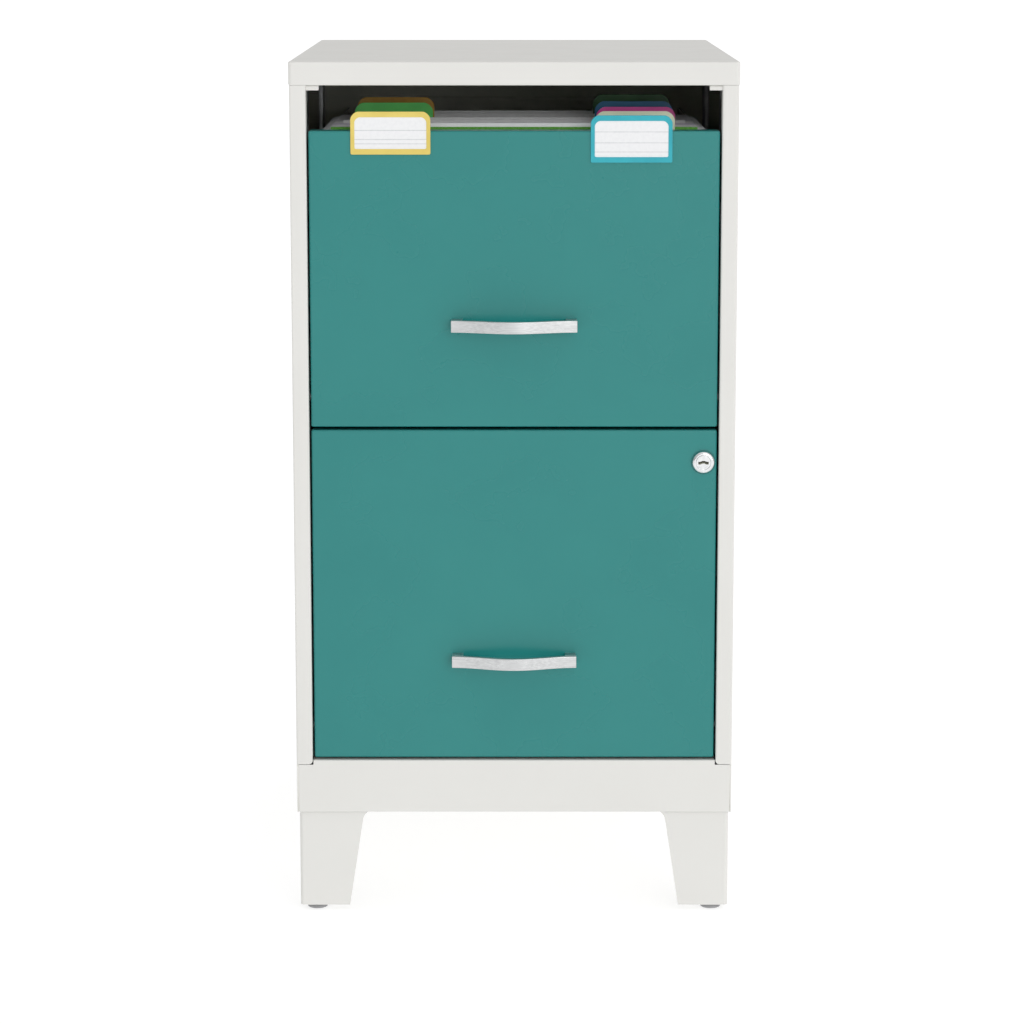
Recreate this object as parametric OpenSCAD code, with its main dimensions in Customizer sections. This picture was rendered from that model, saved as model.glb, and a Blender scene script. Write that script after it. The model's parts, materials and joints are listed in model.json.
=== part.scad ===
// Two-drawer metal filing cabinet on four tapered legs, with hanging folders in its upper drawer.
// X runs to the right, -Y is the front, +Z is up. The origin is on the floor, under the middle of the outline.

/* [Cabinet] */
// Width of the cabinet body across its side panels
cab_w = 362; // [355:1:400]
// Depth of the cabinet body, front posts to back
cab_d = 457; // [440:1:520]
// Overall height, floor to the top of the cap
cab_h = 708; // [706:1:740]
// Height of the top cap
cap_h = 19; // [14:1:22]
// How far the cap stands out past the side panels
cap_lip = 0.6; // [0.2:0.1:1.5]
// Corner radius of the cap in plan
cap_r = 3; // [2:1:14]
// Thickness of the sheet steel
sheet = 1.2; // [1:0.1:1.2]
// Width of the front posts folded out of the side panels
post_w = 13.4; // [13:0.2:15]
// Depth of each post's return flange
post_return = 14; // [10:1:14]
// Width of the folded flange at the rear of each side panel
rear_flange = 16; // [12:1:24]

/* [Base] */
// Height of the legs
leg_h = 81; // [60:1:90]
// Width of a leg at its top
leg_top_w = 54; // [50:1:60]
// Width of a leg at its foot
leg_foot_w = 41.5; // [36:0.5:48]
// Thickness of the leg plates
leg_t = 2; // [1.6:0.2:3]
// Inset of the legs from the sides, front and back
leg_inset = 2; // [1:0.5:6]
// Height of a levelling glide below its leg
glide_h = 5; // [4:1:14]
// Diameter of a glide's pad
glide_d = 17; // [14:1:20]
// Height of the plinth up to the seam below the posts
plinth_h = 41; // [36:1:50]
// Rise of the plinth's ledge above that seam
ledge_rise = 3.6; // [1:0.2:4]

/* [Drawers] */
// Width of the drawer fronts
front_w = 332; // [325:1:332]
// Thickness of the drawer fronts
front_t = 18; // [16:1:19]
// Recess of the drawer fronts behind the posts
recess = 2; // [0:0.5:3]
// Height of the upper drawer front
upper_front_h = 241.5; // [238:0.5:243]
// Height of the lower drawer front
lower_front_h = 276; // [270:1:277]
// Gap between the two drawer fronts
front_gap = 2.5; // [2:0.5:4]
// Gap between the ledge and the lower drawer front
ledge_gap = 1.9; // [1.5:0.1:4]
// Outer width of the drawer trays
tray_w = 313; // [310:1:313]
// Height of the tray walls
tray_h = 229; // [200:1:230]
// Opening travel of each drawer
travel = 305; // [250:5:310]
// Radius of the nylon slide rollers
roller_r = 9; // [8:0.5:9]

/* [Handles] */
// Length of a handle bar
bar_l = 102.6; // [96:0.2:112]
// Height of a handle bar
bar_h = 9.8; // [8:0.2:12]
// Thickness of a handle bar
bar_t = 4.8; // [4:0.2:6]
// Clearance behind the bar at its ends
bar_end_gap = 8.2; // [7:0.2:10]
// Clearance behind the bar at its middle
bar_mid_gap = 19; // [16:0.5:24]
// Height of the handle's centre line above the bottom edge of its drawer front
handle_rise = 84.2; // [60:0.2:120]

/* [Lock] */
// Distance of the lock from the cabinet's centre plane
lock_x = 155; // [150:0.5:155]
// Height of the lock above the bottom edge of the lower drawer front
lock_rise = 249.5; // [245:0.5:252]
// Diameter of the lock's bezel
bezel_d = 18.2; // [17:0.2:19]
// Reach of the lock's cam from its axis
cam_reach = 12; // [10:0.5:12]

/* [Folders] */
// Number of hanging folders
folders = 15; // [14:1:20]
// Distance from one folder to the next
folder_pitch = 11.4; // [11:0.2:12]
// Width of an index tab
tab_w = 65; // [50:1:70]

/* [Hidden] */
$fn = 64;
eps = 0.01;

// Paint and metal colours
white_paint = [0.88, 0.87, 0.86];
teal_paint = [0.27, 0.54, 0.53];
steel = [0.7, 0.71, 0.72];
bright_metal = [0.85, 0.86, 0.87];
dark_plastic = [0.2, 0.2, 0.21];
nylon = [0.9, 0.9, 0.87];

// Main levels, from the floor up
base_z = glide_h + leg_h;
seam_z = base_z + plinth_h;
ledge_z = seam_z + ledge_rise;
lower_z = ledge_z + ledge_gap;
upper_z = lower_z + lower_front_h + front_gap;
body_top_z = cab_h - cap_h;
front_top_z = upper_z + upper_front_h;

// Plan positions: the handles stand out at the front, and the outline is centred on the origin
handle_out = bar_mid_gap + bar_t - recess;
front_y = (handle_out - cab_d) / 2;
back_y = front_y + cab_d;
face_y = front_y + recess;
liner_y = face_y + front_t;
half_w = cab_w / 2;
skin_x = half_w - sheet;

// Trays and slides; every slide position is measured outwards from the centre plane
tray_t = 1;
tray_lift = 5;
tray_back_y = back_y - 12;
tray_x = tray_w / 2;
rail_rise = tray_lift + 16;
rail_t = 1.4;
run_gap = 0.3;
upright_t = 4;
upright_w = 30;
upright_depths = [142, cab_d - 70];
rail_x = skin_x - upright_t;
rail_lip_x = half_w - post_w + 1.4;
rail_start_y = front_y + post_return + 2;
rail_end_y = back_y - 10;
axle_r = 2.5;
axle_fit = 0.05;
front_axle_y = liner_y + roller_r + 3;
rear_axle_y = tray_back_y - 15;
member_x = tray_x + rail_t;
member_lip_x = half_w - post_w - 1;
front_roller_x = member_x + 1.3;
front_roller_w = member_lip_x - front_roller_x - 0.2;
rear_roller_x = rail_lip_x + 0.2;
rear_roller_w = rail_x - rail_t - 0.4 - rear_roller_x;

// Legs and glides, measured inwards from each leg's outer corner
leg_x = half_w - leg_inset;
glide_in = 13.6;
glide_stem_r = 4;
foot_plate = 27;
foot_plate_t = 2.5;
top_flange = 40;
bolt_places = [[14, 31], [31, 14]];
bolt_r = 3;
bolt_hole_r = 3.2;

// Handle feet and screws
foot_w = 9;
foot_mid_x = bar_l / 2 - 0.3 - foot_w / 2;
screw_r = 2;
screw_hole_r = 2.2;
screw_head = 2.2;

// Lock
lock_z = lower_z + lock_rise;
barrel_r = 8;
plug_r = 6;
bezel_t = 3.8;
barrel_end_y = liner_y + 6;
cam_t = 2;
cam_y = barrel_end_y + 1.6;

// Folders: heavy card hung from steel bars that ride on the top edges of the tray
tray_top_z = upper_z + tray_lift + tray_h;
folder_y = front_y + 25;
folder_w = 298;
folder_bottom_z = upper_z + tray_lift + 8;
folder_bar_h = 8;
folder_bar_t = 1.6;
tab_top_z = cab_h - 41;
tab_step = 0.5;

// Label holders: [left edge, right edge, bottom level, top level]
yellow_holder = [-132, -67.5, cab_h - 74.5, cab_h - 40];
cyan_holder = [61.7, 127.6, cab_h - 81, cab_h - 43];
holder_t = 1.4;
holder_rim = 3;

// ---- Shared shapes ----

// Draws its child on the right (side = 1) or mirrored on the left (side = -1)
module on_side(side) {
    mirror([side < 0 ? 1 : 0, 0, 0]) children();
}

// Rectangle with rounded corners, from exact squares and circles
module round_rect(w, d, r) {
    square([w - 2 * r, d], center = true);
    square([w, d - 2 * r], center = true);
    for (sx = [-1, 1], sy = [-1, 1])
        translate([sx * (w / 2 - r), sy * (d / 2 - r)]) circle(r);
}

// Block given by its low and high corners
module block(low, high) {
    translate(low) cube(high - low);
}

// Cylinder along +X, starting at the given point
module rod_x(at, r, l) {
    translate(at) rotate([0, 90, 0]) cylinder(r = r, h = l);
}

// Cylinder along +Y, starting at the given point
module rod_y(at, r, l) {
    translate(at) rotate([-90, 0, 0]) cylinder(r = r, h = l);
}

// ---- Cabinet ----

module top_cap() {
    cap_w = cab_w + 2 * cap_lip;
    cap_d = cab_d + 0.8;
    color(white_paint)
        translate([0, back_y - cap_d / 2, body_top_z])
            difference() {
                linear_extrude(cap_h) round_rect(cap_w, cap_d, cap_r);
                translate([0, 0, -eps])
                    linear_extrude(cap_h - sheet + eps)
                        round_rect(cap_w - 2 * sheet - 22, cap_d - 2 * sheet - 22, cap_r);
                translate([0, 0, sheet])
                    linear_extrude(cap_h - 2 * sheet)
                        round_rect(cap_w - 2 * sheet, cap_d - 2 * sheet, cap_r - sheet);
            }
}

module side_panel(side) {
    post_x = half_w - post_w;
    color(white_paint) on_side(side) {
        block([skin_x, front_y, base_z], [half_w, back_y, body_top_z]);
        block([half_w - rear_flange, back_y - sheet, base_z], [half_w, back_y, body_top_z]);
        block([post_x, front_y, seam_z], [half_w, front_y + sheet, body_top_z]);
        block([post_x, front_y, seam_z], [post_x + sheet, front_y + post_return, body_top_z]);
    }
}

module back_panel() {
    color(white_paint)
        block([-skin_x, back_y - 2 * sheet, base_z + sheet], [skin_x, back_y - sheet, body_top_z]);
}

module bottom_panel() {
    flange_h = 14;
    y0 = front_y + sheet;
    y1 = back_y - 2 * sheet;
    color(white_paint) difference() {
        union() {
            block([-skin_x, y0, base_z], [skin_x, y1, base_z + sheet]);
            block([-skin_x, y1 - sheet, base_z], [skin_x, y1, base_z + flange_h]);
            for (side = [-1, 1]) on_side(side)
                block([skin_x - sheet, y0 + 16, base_z], [skin_x, y1, base_z + flange_h]);
        }
        for (sx = [-1, 1], sy = [-1, 1]) at_leg(sx, sy) bolt_holes(base_z - 1, sheet + 2);
    }
}

module front_plinth() {
    post_x = half_w - post_w;
    plinth_x = half_w - 1.7;
    ledge_x = post_x - 0.6;
    plinth_lip = 8;
    color(white_paint) {
        block([-plinth_x, front_y, base_z], [plinth_x, front_y + sheet, seam_z]);
        block([-ledge_x, front_y, seam_z - eps], [ledge_x, front_y + sheet, ledge_z]);
        block([-ledge_x, front_y, ledge_z - sheet], [ledge_x, front_y + front_t + 4, ledge_z]);
        block([-plinth_x, front_y, base_z + sheet], [plinth_x, front_y + plinth_lip, base_z + 2 * sheet]);
    }
}

// Small angle brackets between each post and the cap
module front_gussets() {
    color(white_paint) for (side = [-1, 1]) on_side(side) {
        x1 = half_w - post_w;
        block([x1 - 10.4, front_y + 1.5, body_top_z - 4], [x1, front_y + 1.5 + sheet, body_top_z]);
        block([x1 - 10.4, front_y + 1.5, body_top_z - sheet], [x1, front_y + post_return, body_top_z]);
    }
}

// Hat-section uprights that carry the cabinet rails
module uprights(side) {
    color(steel) on_side(side) for (depth = upright_depths) {
        y0 = front_y + depth;
        difference() {
            block([rail_x, y0, base_z + 16], [skin_x, y0 + upright_w, body_top_z - 1]);
            block([rail_x + sheet, y0 + sheet, base_z], [skin_x + 1, y0 + upright_w - sheet, body_top_z]);
        }
    }
}

// ---- Base ----

// Moves a leg drawn inwards from (0, 0) to the corner named by its signs
module at_leg(sx, sy) {
    y = sy < 0 ? front_y + leg_inset : back_y - leg_inset;
    translate([sx * leg_x, y, 0])
        mirror([sx > 0 ? 1 : 0, 0, 0])
            mirror([0, sy > 0 ? 1 : 0, 0])
                children();
}

module bolt_holes(z, h) {
    for (p = bolt_places) translate([p[0], p[1], z]) cylinder(r = bolt_hole_r, h = h);
}

// One tapered wing of a leg, in the plane of its face
module leg_wing() {
    polygon([[0, glide_h], [leg_foot_w, glide_h], [leg_top_w, base_z], [0, base_z]]);
}

module leg(sx, sy) {
    color(white_paint) at_leg(sx, sy) difference() {
        union() {
            translate([0, leg_t, 0]) rotate([90, 0, 0]) linear_extrude(leg_t) leg_wing();
            rotate([90, 0, 90]) linear_extrude(leg_t) leg_wing();
            block([0, 0, base_z - leg_t], [top_flange, top_flange, base_z]);
            block([0, 0, glide_h], [foot_plate, foot_plate, glide_h + foot_plate_t]);
        }
        bolt_holes(base_z - leg_t - 1, leg_t + 2);
        translate([glide_in, glide_in, glide_h - 1])
            cylinder(r = glide_stem_r + axle_fit, h = foot_plate_t + 2);
    }
}

module leg_bolts() {
    color(steel) for (sx = [-1, 1], sy = [-1, 1]) at_leg(sx, sy) for (p = bolt_places)
        translate([p[0], p[1], 0]) {
            translate([0, 0, base_z - leg_t - 4]) cylinder(r = 5.5, h = 4, $fn = 6);
            translate([0, 0, base_z - leg_t - 1]) cylinder(r = bolt_r, h = leg_t + sheet + 7);
            translate([0, 0, base_z + sheet]) cylinder(r = 5.5, h = 5, $fn = 6);
        }
}

module glide(sx, sy) {
    pad_h = glide_h - run_gap;
    color(dark_plastic) at_leg(sx, sy) translate([glide_in, glide_in, 0]) {
        cylinder(d = glide_d, h = pad_h - 3);
        translate([0, 0, pad_h - 3]) cylinder(d1 = glide_d, d2 = glide_d - 4, h = 3);
        cylinder(r = glide_stem_r, h = glide_h + 32);
    }
}

// ---- Slides ----

module cabinet_rail(side, z0) {
    z = z0 + rail_rise;
    inner = roller_r + 0.4;
    color(steel) on_side(side) {
        block([rail_x - rail_t, rail_start_y, z - inner - rail_t], [rail_x, rail_end_y, z + inner + rail_t]);
        for (dz = [-inner - rail_t, inner])
            block([rail_lip_x, rail_start_y, z + dz], [rail_x, rail_end_y, z + dz + rail_t]);
        rod_x([front_roller_x - 0.4, front_axle_y, z], axle_r, rail_x - front_roller_x);
        rod_x([front_roller_x + front_roller_w + 0.2, front_axle_y, z], 4,
            rail_x - front_roller_x - front_roller_w - 0.4);
    }
}

module roller(at, w) {
    difference() {
        rod_x(at, roller_r, w);
        rod_x(at - [1, 0, 0], axle_r + axle_fit, w + 2);
    }
}

module front_rollers(z0) {
    color(nylon) for (side = [-1, 1]) on_side(side)
        roller([front_roller_x, front_axle_y, z0 + rail_rise], front_roller_w);
}

module rear_rollers(z0) {
    color(nylon) for (side = [-1, 1]) on_side(side)
        roller([rear_roller_x, rear_axle_y, z0 + rail_rise], rear_roller_w);
}

module drawer_rail(side, z0) {
    z = z0 + rail_rise;
    lip_z = z + roller_r + run_gap;
    y0 = liner_y + 2;
    color(steel) on_side(side) {
        block([tray_x, y0, z - 12], [member_x, tray_back_y, lip_z + rail_t]);
        block([tray_x, y0, lip_z], [member_lip_x, tray_back_y, lip_z + rail_t]);
        rod_x([tray_x, rear_axle_y, z], axle_r, rear_roller_x + rear_roller_w - 0.2 - tray_x);
        rod_x([tray_x, rear_axle_y, z], 4, rear_roller_x - 0.2 - tray_x);
    }
}

// ---- Drawers ----

// Holes for the handle screws, through the front and its liner
module handle_holes(z0) {
    for (sx = [-1, 1])
        rod_y([sx * foot_mid_x, face_y - 1, z0 + handle_rise], screw_hole_r, front_t + 2);
}

module lock_hole() {
    rod_y([lock_x, face_y - 1, lock_z], barrel_r + 0.2, front_t + 2);
}

module drawer_front(z0, h, has_lock) {
    hw = front_w / 2;
    color(teal_paint) difference() {
        block([-hw, face_y, z0], [hw, liner_y, z0 + h]);
        block([-hw + sheet, face_y + sheet, z0 + sheet], [hw - sheet, liner_y + 1, z0 + h - sheet]);
        handle_holes(z0);
        if (has_lock) lock_hole();
    }
}

module drawer_liner(z0, h, has_lock) {
    hw = front_w / 2 - sheet;
    color(white_paint) difference() {
        block([-hw, liner_y - sheet, z0 + sheet], [hw, liner_y, z0 + h - sheet]);
        handle_holes(z0);
        if (has_lock) lock_hole();
    }
}

module drawer_tray(z0) {
    z = z0 + tray_lift;
    color(white_paint) difference() {
        block([-tray_x, liner_y, z], [tray_x, tray_back_y, z + tray_h]);
        block([-tray_x + tray_t, liner_y - 1, z + tray_t], [tray_x - tray_t, tray_back_y + 1, z + tray_h + 1]);
    }
}

module drawer_back(z0) {
    z = z0 + tray_lift;
    color(white_paint)
        block([-tray_x + tray_t, tray_back_y - tray_t, z + tray_t], [tray_x - tray_t, tray_back_y, z + tray_h - 24]);
}

// Clearance behind the bar at a distance x from its middle: one smooth bow, flat at both ends
function bar_gap(x) =
    bar_end_gap + (bar_mid_gap - bar_end_gap) * (1 + cos(360 * x / bar_l)) / 2;

module handle_bar(z0) {
    steps = 24;
    xs = [for (i = [0 : steps]) bar_l * (i / steps - 0.5)];
    back = [for (x = xs) [x, -bar_gap(x)]];
    front = [for (i = [steps : -1 : 0]) [xs[i], -bar_gap(xs[i]) - bar_t]];
    color(bright_metal)
        translate([0, face_y, z0 + handle_rise - bar_h / 2])
            linear_extrude(bar_h) polygon(concat(back, front));
}

module handle_feet(z0) {
    steps = 4;
    z = z0 + handle_rise;
    color(bright_metal) for (side = [-1, 1]) on_side(side) difference() {
        translate([0, face_y, z - bar_h / 2]) linear_extrude(bar_h)
            polygon(concat(
                [[foot_mid_x + foot_w / 2, 0], [foot_mid_x - foot_w / 2, 0]],
                [for (i = [0 : steps]) let (x = foot_mid_x + foot_w * (i / steps - 0.5)) [x, 0.02 - bar_gap(x)]]));
        rod_y([foot_mid_x, face_y - bar_end_gap + 2, z], screw_r + axle_fit, bar_end_gap);
    }
}

module handle_screws(z0) {
    color(steel) for (sx = [-1, 1]) {
        rod_y([sx * foot_mid_x, liner_y, z0 + handle_rise], 4, screw_head);
        rod_y([sx * foot_mid_x, face_y - bar_end_gap + 2.4, z0 + handle_rise], screw_r, front_t + bar_end_gap - 2);
    }
}

// ---- Lock ----

module lock_housing() {
    color(bright_metal) difference() {
        union() {
            rod_y([lock_x, face_y - bezel_t, lock_z], bezel_d / 2, bezel_t);
            rod_y([lock_x, face_y - 1, lock_z], barrel_r, barrel_end_y - face_y + 1);
        }
        rod_y([lock_x, face_y - bezel_t - 1, lock_z], plug_r + axle_fit, barrel_end_y - face_y + bezel_t + 2);
    }
}

module lock_plug() {
    key_w = 8.8;
    key_t = 1.8;
    color(bright_metal) difference() {
        union() {
            rod_y([lock_x, face_y - bezel_t - 0.1, lock_z], plug_r, barrel_end_y - face_y + bezel_t + 0.6);
            rod_y([lock_x, barrel_end_y, lock_z], 4, cam_y - barrel_end_y + cam_t + 1.5);
        }
        block([lock_x - key_w / 2, face_y - bezel_t - 1, lock_z - key_t / 2],
            [lock_x + key_w / 2, face_y + 12, lock_z + key_t / 2]);
    }
}

// The cam points up when the lock is open
module lock_cam() {
    cam_w = 11;
    color(steel) difference() {
        union() {
            block([lock_x - cam_w / 2, cam_y, lock_z], [lock_x + cam_w / 2, cam_y + cam_t, lock_z + cam_reach - 3]);
            block([lock_x - cam_w / 2 + 2, cam_y, lock_z], [lock_x + cam_w / 2 - 2, cam_y + cam_t, lock_z + cam_reach]);
            rod_y([lock_x, cam_y, lock_z], plug_r, cam_t);
        }
        rod_y([lock_x, cam_y - 1, lock_z], 4, cam_t + 2);
    }
}

module lock_nut() {
    color(steel) difference() {
        translate([lock_x, liner_y, lock_z]) rotate([-90, 0, 0]) cylinder(r = 12.5, h = 4, $fn = 6);
        rod_y([lock_x, liner_y - 1, lock_z], barrel_r, 6);
    }
}

// ---- Contents of the upper drawer ----

module hanging_folders() {
    bar_z = tray_top_z + run_gap;
    bar_half = tray_x + 0.4;
    color([0.45, 0.55, 0.4]) for (i = [0 : folders - 1]) {
        y = folder_y + i * folder_pitch;
        block([-bar_half, y - folder_bar_t / 2, bar_z], [bar_half, y + folder_bar_t / 2, bar_z + folder_bar_h]);
        block([-folder_w / 2, y - 1.5, folder_bottom_z], [folder_w / 2, y + 1.5, bar_z + 2]);
    }
}

// Index tab clipped to the front of the folder with number i; the folders rise a little to the back
module index_tab(i, x, tint) {
    y = folder_y + i * folder_pitch - folder_bar_t / 2;
    z = tray_top_z + run_gap + 2;
    color(tint) block([x - tab_w / 2, y - 0.8, z], [x + tab_w / 2, y, tab_top_z + tab_step * i]);
}

module label_holder(place, tint) {
    color(tint) difference() {
        union() {
            block([place[0], face_y - holder_t, place[2]], [place[1], face_y, place[3]]);
            block([place[0] + 6, face_y - eps, front_top_z], [place[1] - 6, face_y + 12, front_top_z + 0.8]);
        }
        label_pocket(place, 2);
    }
}

// Space inside a holder's rim, from its front face inwards
module label_pocket(place, out) {
    block([place[0] + holder_rim, face_y - holder_t - out, place[2] + holder_rim],
        [place[1] - holder_rim, face_y - 0.5, place[3] - holder_rim]);
}

module label_cards() {
    color([0.95, 0.95, 0.95])
        for (place = [yellow_holder, cyan_holder]) label_pocket(place, -0.4);
}

// ---- Nodes ----

top_cap();
side_panel(-1);  // left_side_panel
side_panel(1);  // right_side_panel
back_panel();
bottom_panel();
front_plinth();
front_gussets();
uprights(-1);  // left_uprights
uprights(1);  // right_uprights
leg(-1, -1);  // front_left_leg
leg(1, -1);  // front_right_leg
leg(-1, 1);  // rear_left_leg
leg(1, 1);  // rear_right_leg
leg_bolts();
glide(-1, -1);  // front_left_glide
glide(1, -1);  // front_right_glide
glide(-1, 1);  // rear_left_glide
glide(1, 1);  // rear_right_glide
cabinet_rail(-1, upper_z);  // upper_left_cabinet_rail
cabinet_rail(1, upper_z);  // upper_right_cabinet_rail
cabinet_rail(-1, lower_z);  // lower_left_cabinet_rail
cabinet_rail(1, lower_z);  // lower_right_cabinet_rail
front_rollers(upper_z);  // upper_front_rollers
front_rollers(lower_z);  // lower_front_rollers
rear_rollers(upper_z);  // upper_rear_rollers
rear_rollers(lower_z);  // lower_rear_rollers
drawer_front(upper_z, upper_front_h, false);  // upper_drawer_front
drawer_liner(upper_z, upper_front_h, false);  // upper_drawer_liner
drawer_tray(upper_z);  // upper_drawer_tray
drawer_back(upper_z);  // upper_drawer_back
drawer_rail(-1, upper_z);  // upper_left_drawer_rail
drawer_rail(1, upper_z);  // upper_right_drawer_rail
handle_bar(upper_z);  // upper_handle_bar
handle_feet(upper_z);  // upper_handle_feet
handle_screws(upper_z);  // upper_handle_screws
drawer_front(lower_z, lower_front_h, true);  // lower_drawer_front
drawer_liner(lower_z, lower_front_h, true);  // lower_drawer_liner
drawer_tray(lower_z);  // lower_drawer_tray
drawer_back(lower_z);  // lower_drawer_back
drawer_rail(-1, lower_z);  // lower_left_drawer_rail
drawer_rail(1, lower_z);  // lower_right_drawer_rail
handle_bar(lower_z);  // lower_handle_bar
handle_feet(lower_z);  // lower_handle_feet
handle_screws(lower_z);  // lower_handle_screws
lock_housing();
lock_plug();
lock_cam();
lock_nut();
hanging_folders();
index_tab(0, 98, [0.93, 0.9, 0.75]);  // cream_tab
index_tab(3, 100, [0.7, 0.2, 0.45]);  // magenta_tab
index_tab(6, -100, [0.3, 0.6, 0.3]);  // green_tab
index_tab(7, 100, [0.15, 0.2, 0.45]);  // blue_tab
index_tab(10, -100, [0.7, 0.4, 0.2]);  // orange_tab
index_tab(12, 100, [0.1, 0.35, 0.25]);  // dark_green_tab
label_holder(yellow_holder, [0.95, 0.85, 0.2]);  // yellow_label_holder
label_holder(cyan_holder, [0.25, 0.7, 0.8]);  // cyan_label_holder
label_cards();
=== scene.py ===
import json
import math
import random
from contextlib import contextmanager

import bmesh
import bpy
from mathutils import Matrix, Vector

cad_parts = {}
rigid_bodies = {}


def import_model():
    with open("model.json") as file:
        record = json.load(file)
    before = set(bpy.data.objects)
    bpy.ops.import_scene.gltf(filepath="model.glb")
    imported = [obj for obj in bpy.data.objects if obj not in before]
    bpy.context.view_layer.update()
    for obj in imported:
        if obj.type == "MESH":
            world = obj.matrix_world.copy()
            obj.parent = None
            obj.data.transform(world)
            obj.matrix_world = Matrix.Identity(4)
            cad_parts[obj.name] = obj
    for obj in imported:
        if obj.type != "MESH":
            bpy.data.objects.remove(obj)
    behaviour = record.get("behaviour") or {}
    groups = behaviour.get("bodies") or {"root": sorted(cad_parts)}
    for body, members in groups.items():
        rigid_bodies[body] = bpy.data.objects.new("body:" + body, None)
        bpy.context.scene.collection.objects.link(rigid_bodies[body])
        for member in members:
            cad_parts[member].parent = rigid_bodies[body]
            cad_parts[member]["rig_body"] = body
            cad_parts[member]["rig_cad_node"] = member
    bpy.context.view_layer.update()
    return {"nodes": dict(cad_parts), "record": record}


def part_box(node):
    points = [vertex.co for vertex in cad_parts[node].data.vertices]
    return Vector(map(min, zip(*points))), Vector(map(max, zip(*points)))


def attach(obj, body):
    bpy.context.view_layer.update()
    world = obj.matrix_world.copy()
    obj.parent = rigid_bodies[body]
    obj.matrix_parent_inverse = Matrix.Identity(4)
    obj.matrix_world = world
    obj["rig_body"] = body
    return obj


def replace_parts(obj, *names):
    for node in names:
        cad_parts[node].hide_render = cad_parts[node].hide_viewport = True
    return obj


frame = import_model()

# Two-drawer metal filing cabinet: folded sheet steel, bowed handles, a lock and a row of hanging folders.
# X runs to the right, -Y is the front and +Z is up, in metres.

boxes = {name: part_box(name) for name in frame["nodes"]}
slot_of = {part["node"]: part["material_slot"] for part in frame["record"]["subparts"]}

MM = 0.001

# ---- Driving dimensions of the sheet metal ----

SHEET = 1.2 * MM            # body, fronts and liners
TRAY_SHEET = 1.0 * MM
RAIL_SHEET = 1.4 * MM
LEG_SHEET = 2.0 * MM
BEND = 1.5 * MM             # outer radius of a fold
POST_W = 13.4 * MM
POST_RETURN = 14 * MM
LEDGE_RISE = 3.6 * MM       # how far the plinth's ledge stands above the posts' lower ends
RECESS = 2 * MM             # drawer fronts behind the posts
FOLD_EDGE = 0.2 * MM        # rounding of a sheet's sheared edges
FOLDER_PITCH = 11.4 * MM    # from one hanging folder to the next

# Main levels and faces, from the frame
FRONT_Y = boxes["right_side_panel"][0].y
BACK_Y = boxes["right_side_panel"][1].y
HALF_W = boxes["right_side_panel"][1].x
BASE_Z = boxes["right_side_panel"][0].z
BODY_TOP_Z = boxes["right_side_panel"][1].z
CAP_TOP_Z = boxes["top_cap"][1].z
SEAM_Z = boxes["front_plinth"][1].z - LEDGE_RISE
FACE_Y = FRONT_Y + RECESS
LINER_Y = boxes["upper_drawer_front"][1].y
POST_X = HALF_W - POST_W


# ---- Bench tools ----

def only(piece):
    """Selects this piece and nothing else."""
    bpy.ops.object.select_all(action="DESELECT")
    piece.select_set(True)
    bpy.context.view_layer.objects.active = piece


@contextmanager
def editing(piece):
    """Edit mode on one piece, with nothing selected in it at first."""
    only(piece)
    bpy.ops.object.mode_set(mode="EDIT")
    bpy.ops.mesh.select_mode(type="VERT")
    bpy.ops.mesh.select_all(action="DESELECT")
    yield
    bpy.ops.object.mode_set(mode="OBJECT")


def pick_all():
    bpy.ops.mesh.select_all(action="SELECT")


def slice_at(place, way, **options):
    """In edit mode, cuts everything along a plane through a place."""
    pick_all()
    bpy.ops.mesh.bisect(plane_co=place, plane_no=way, **options)


def pick(kind, test):
    """In edit mode, selects only the VERTs, EDGEs or FACEs whose middle and direction pass the test."""
    bpy.ops.mesh.select_mode(type=kind)
    bpy.ops.mesh.select_all(action="DESELECT")
    mesh = bmesh.from_edit_mesh(bpy.context.object.data)
    for part in {"VERT": mesh.verts, "EDGE": mesh.edges, "FACE": mesh.faces}[kind]:
        if kind == "VERT":
            middle, way = part.co, part.normal
        elif kind == "EDGE":
            middle = (part.verts[0].co + part.verts[1].co) / 2
            way = (part.verts[1].co - part.verts[0].co).normalized()
        else:
            middle, way = part.calc_center_median(), part.normal
        if test(middle, way):
            part.select_set(True)
    bmesh.update_edit_mesh(bpy.context.object.data)


def near(a, b, slack=0.02 * MM):
    return abs(a - b) < slack


def along(way, axis):
    """Whether a direction runs along an axis, 0 for X, 1 for Y, 2 for Z."""
    return abs(way[axis]) > 0.999


def settle(piece):
    """Puts the piece's place, turn and scale into its mesh."""
    only(piece)
    bpy.ops.object.transform_apply(location=True, rotation=True, scale=True)
    return piece


def primitive(kind, name, location=(0, 0, 0), scale=(1, 1, 1), rotation=(0, 0, 0), **size):
    """Adds one primitive, named, with its place in its mesh."""
    bpy.ops.object.select_all(action="DESELECT")
    getattr(bpy.ops.mesh, f"primitive_{kind}_add")(location=location, rotation=rotation, **size)
    piece = bpy.context.object
    piece.name = name
    piece.scale = scale
    return settle(piece)


def block(name, low, high):
    """A box between two corners, as a start for a piece."""
    low, high = Vector(low), Vector(high)
    return primitive("cube", name, location=(low + high) / 2, scale=high - low, size=1)


def wire(name, path):
    """A chain of edges through the path's points."""
    piece = primitive("plane", name, location=path[0], size=MM)
    with editing(piece):
        pick_all()
        bpy.ops.mesh.merge(type="CENTER")
        for start, end in zip(path, path[1:]):
            bpy.ops.mesh.extrude_vertices_move(TRANSFORM_OT_translate={"value": Vector(end) - Vector(start)})
    return piece


def round_folds(radius=BEND, angle=30, segments=3):
    """In edit mode, rounds every edge where two faces meet at more than the angle."""
    bpy.ops.mesh.select_mode(type="EDGE")
    bpy.ops.mesh.select_all(action="DESELECT")
    bpy.ops.mesh.edges_select_sharp(sharpness=math.radians(angle))
    bpy.ops.mesh.bevel(offset=radius, segments=segments, affect="EDGES")


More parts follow.
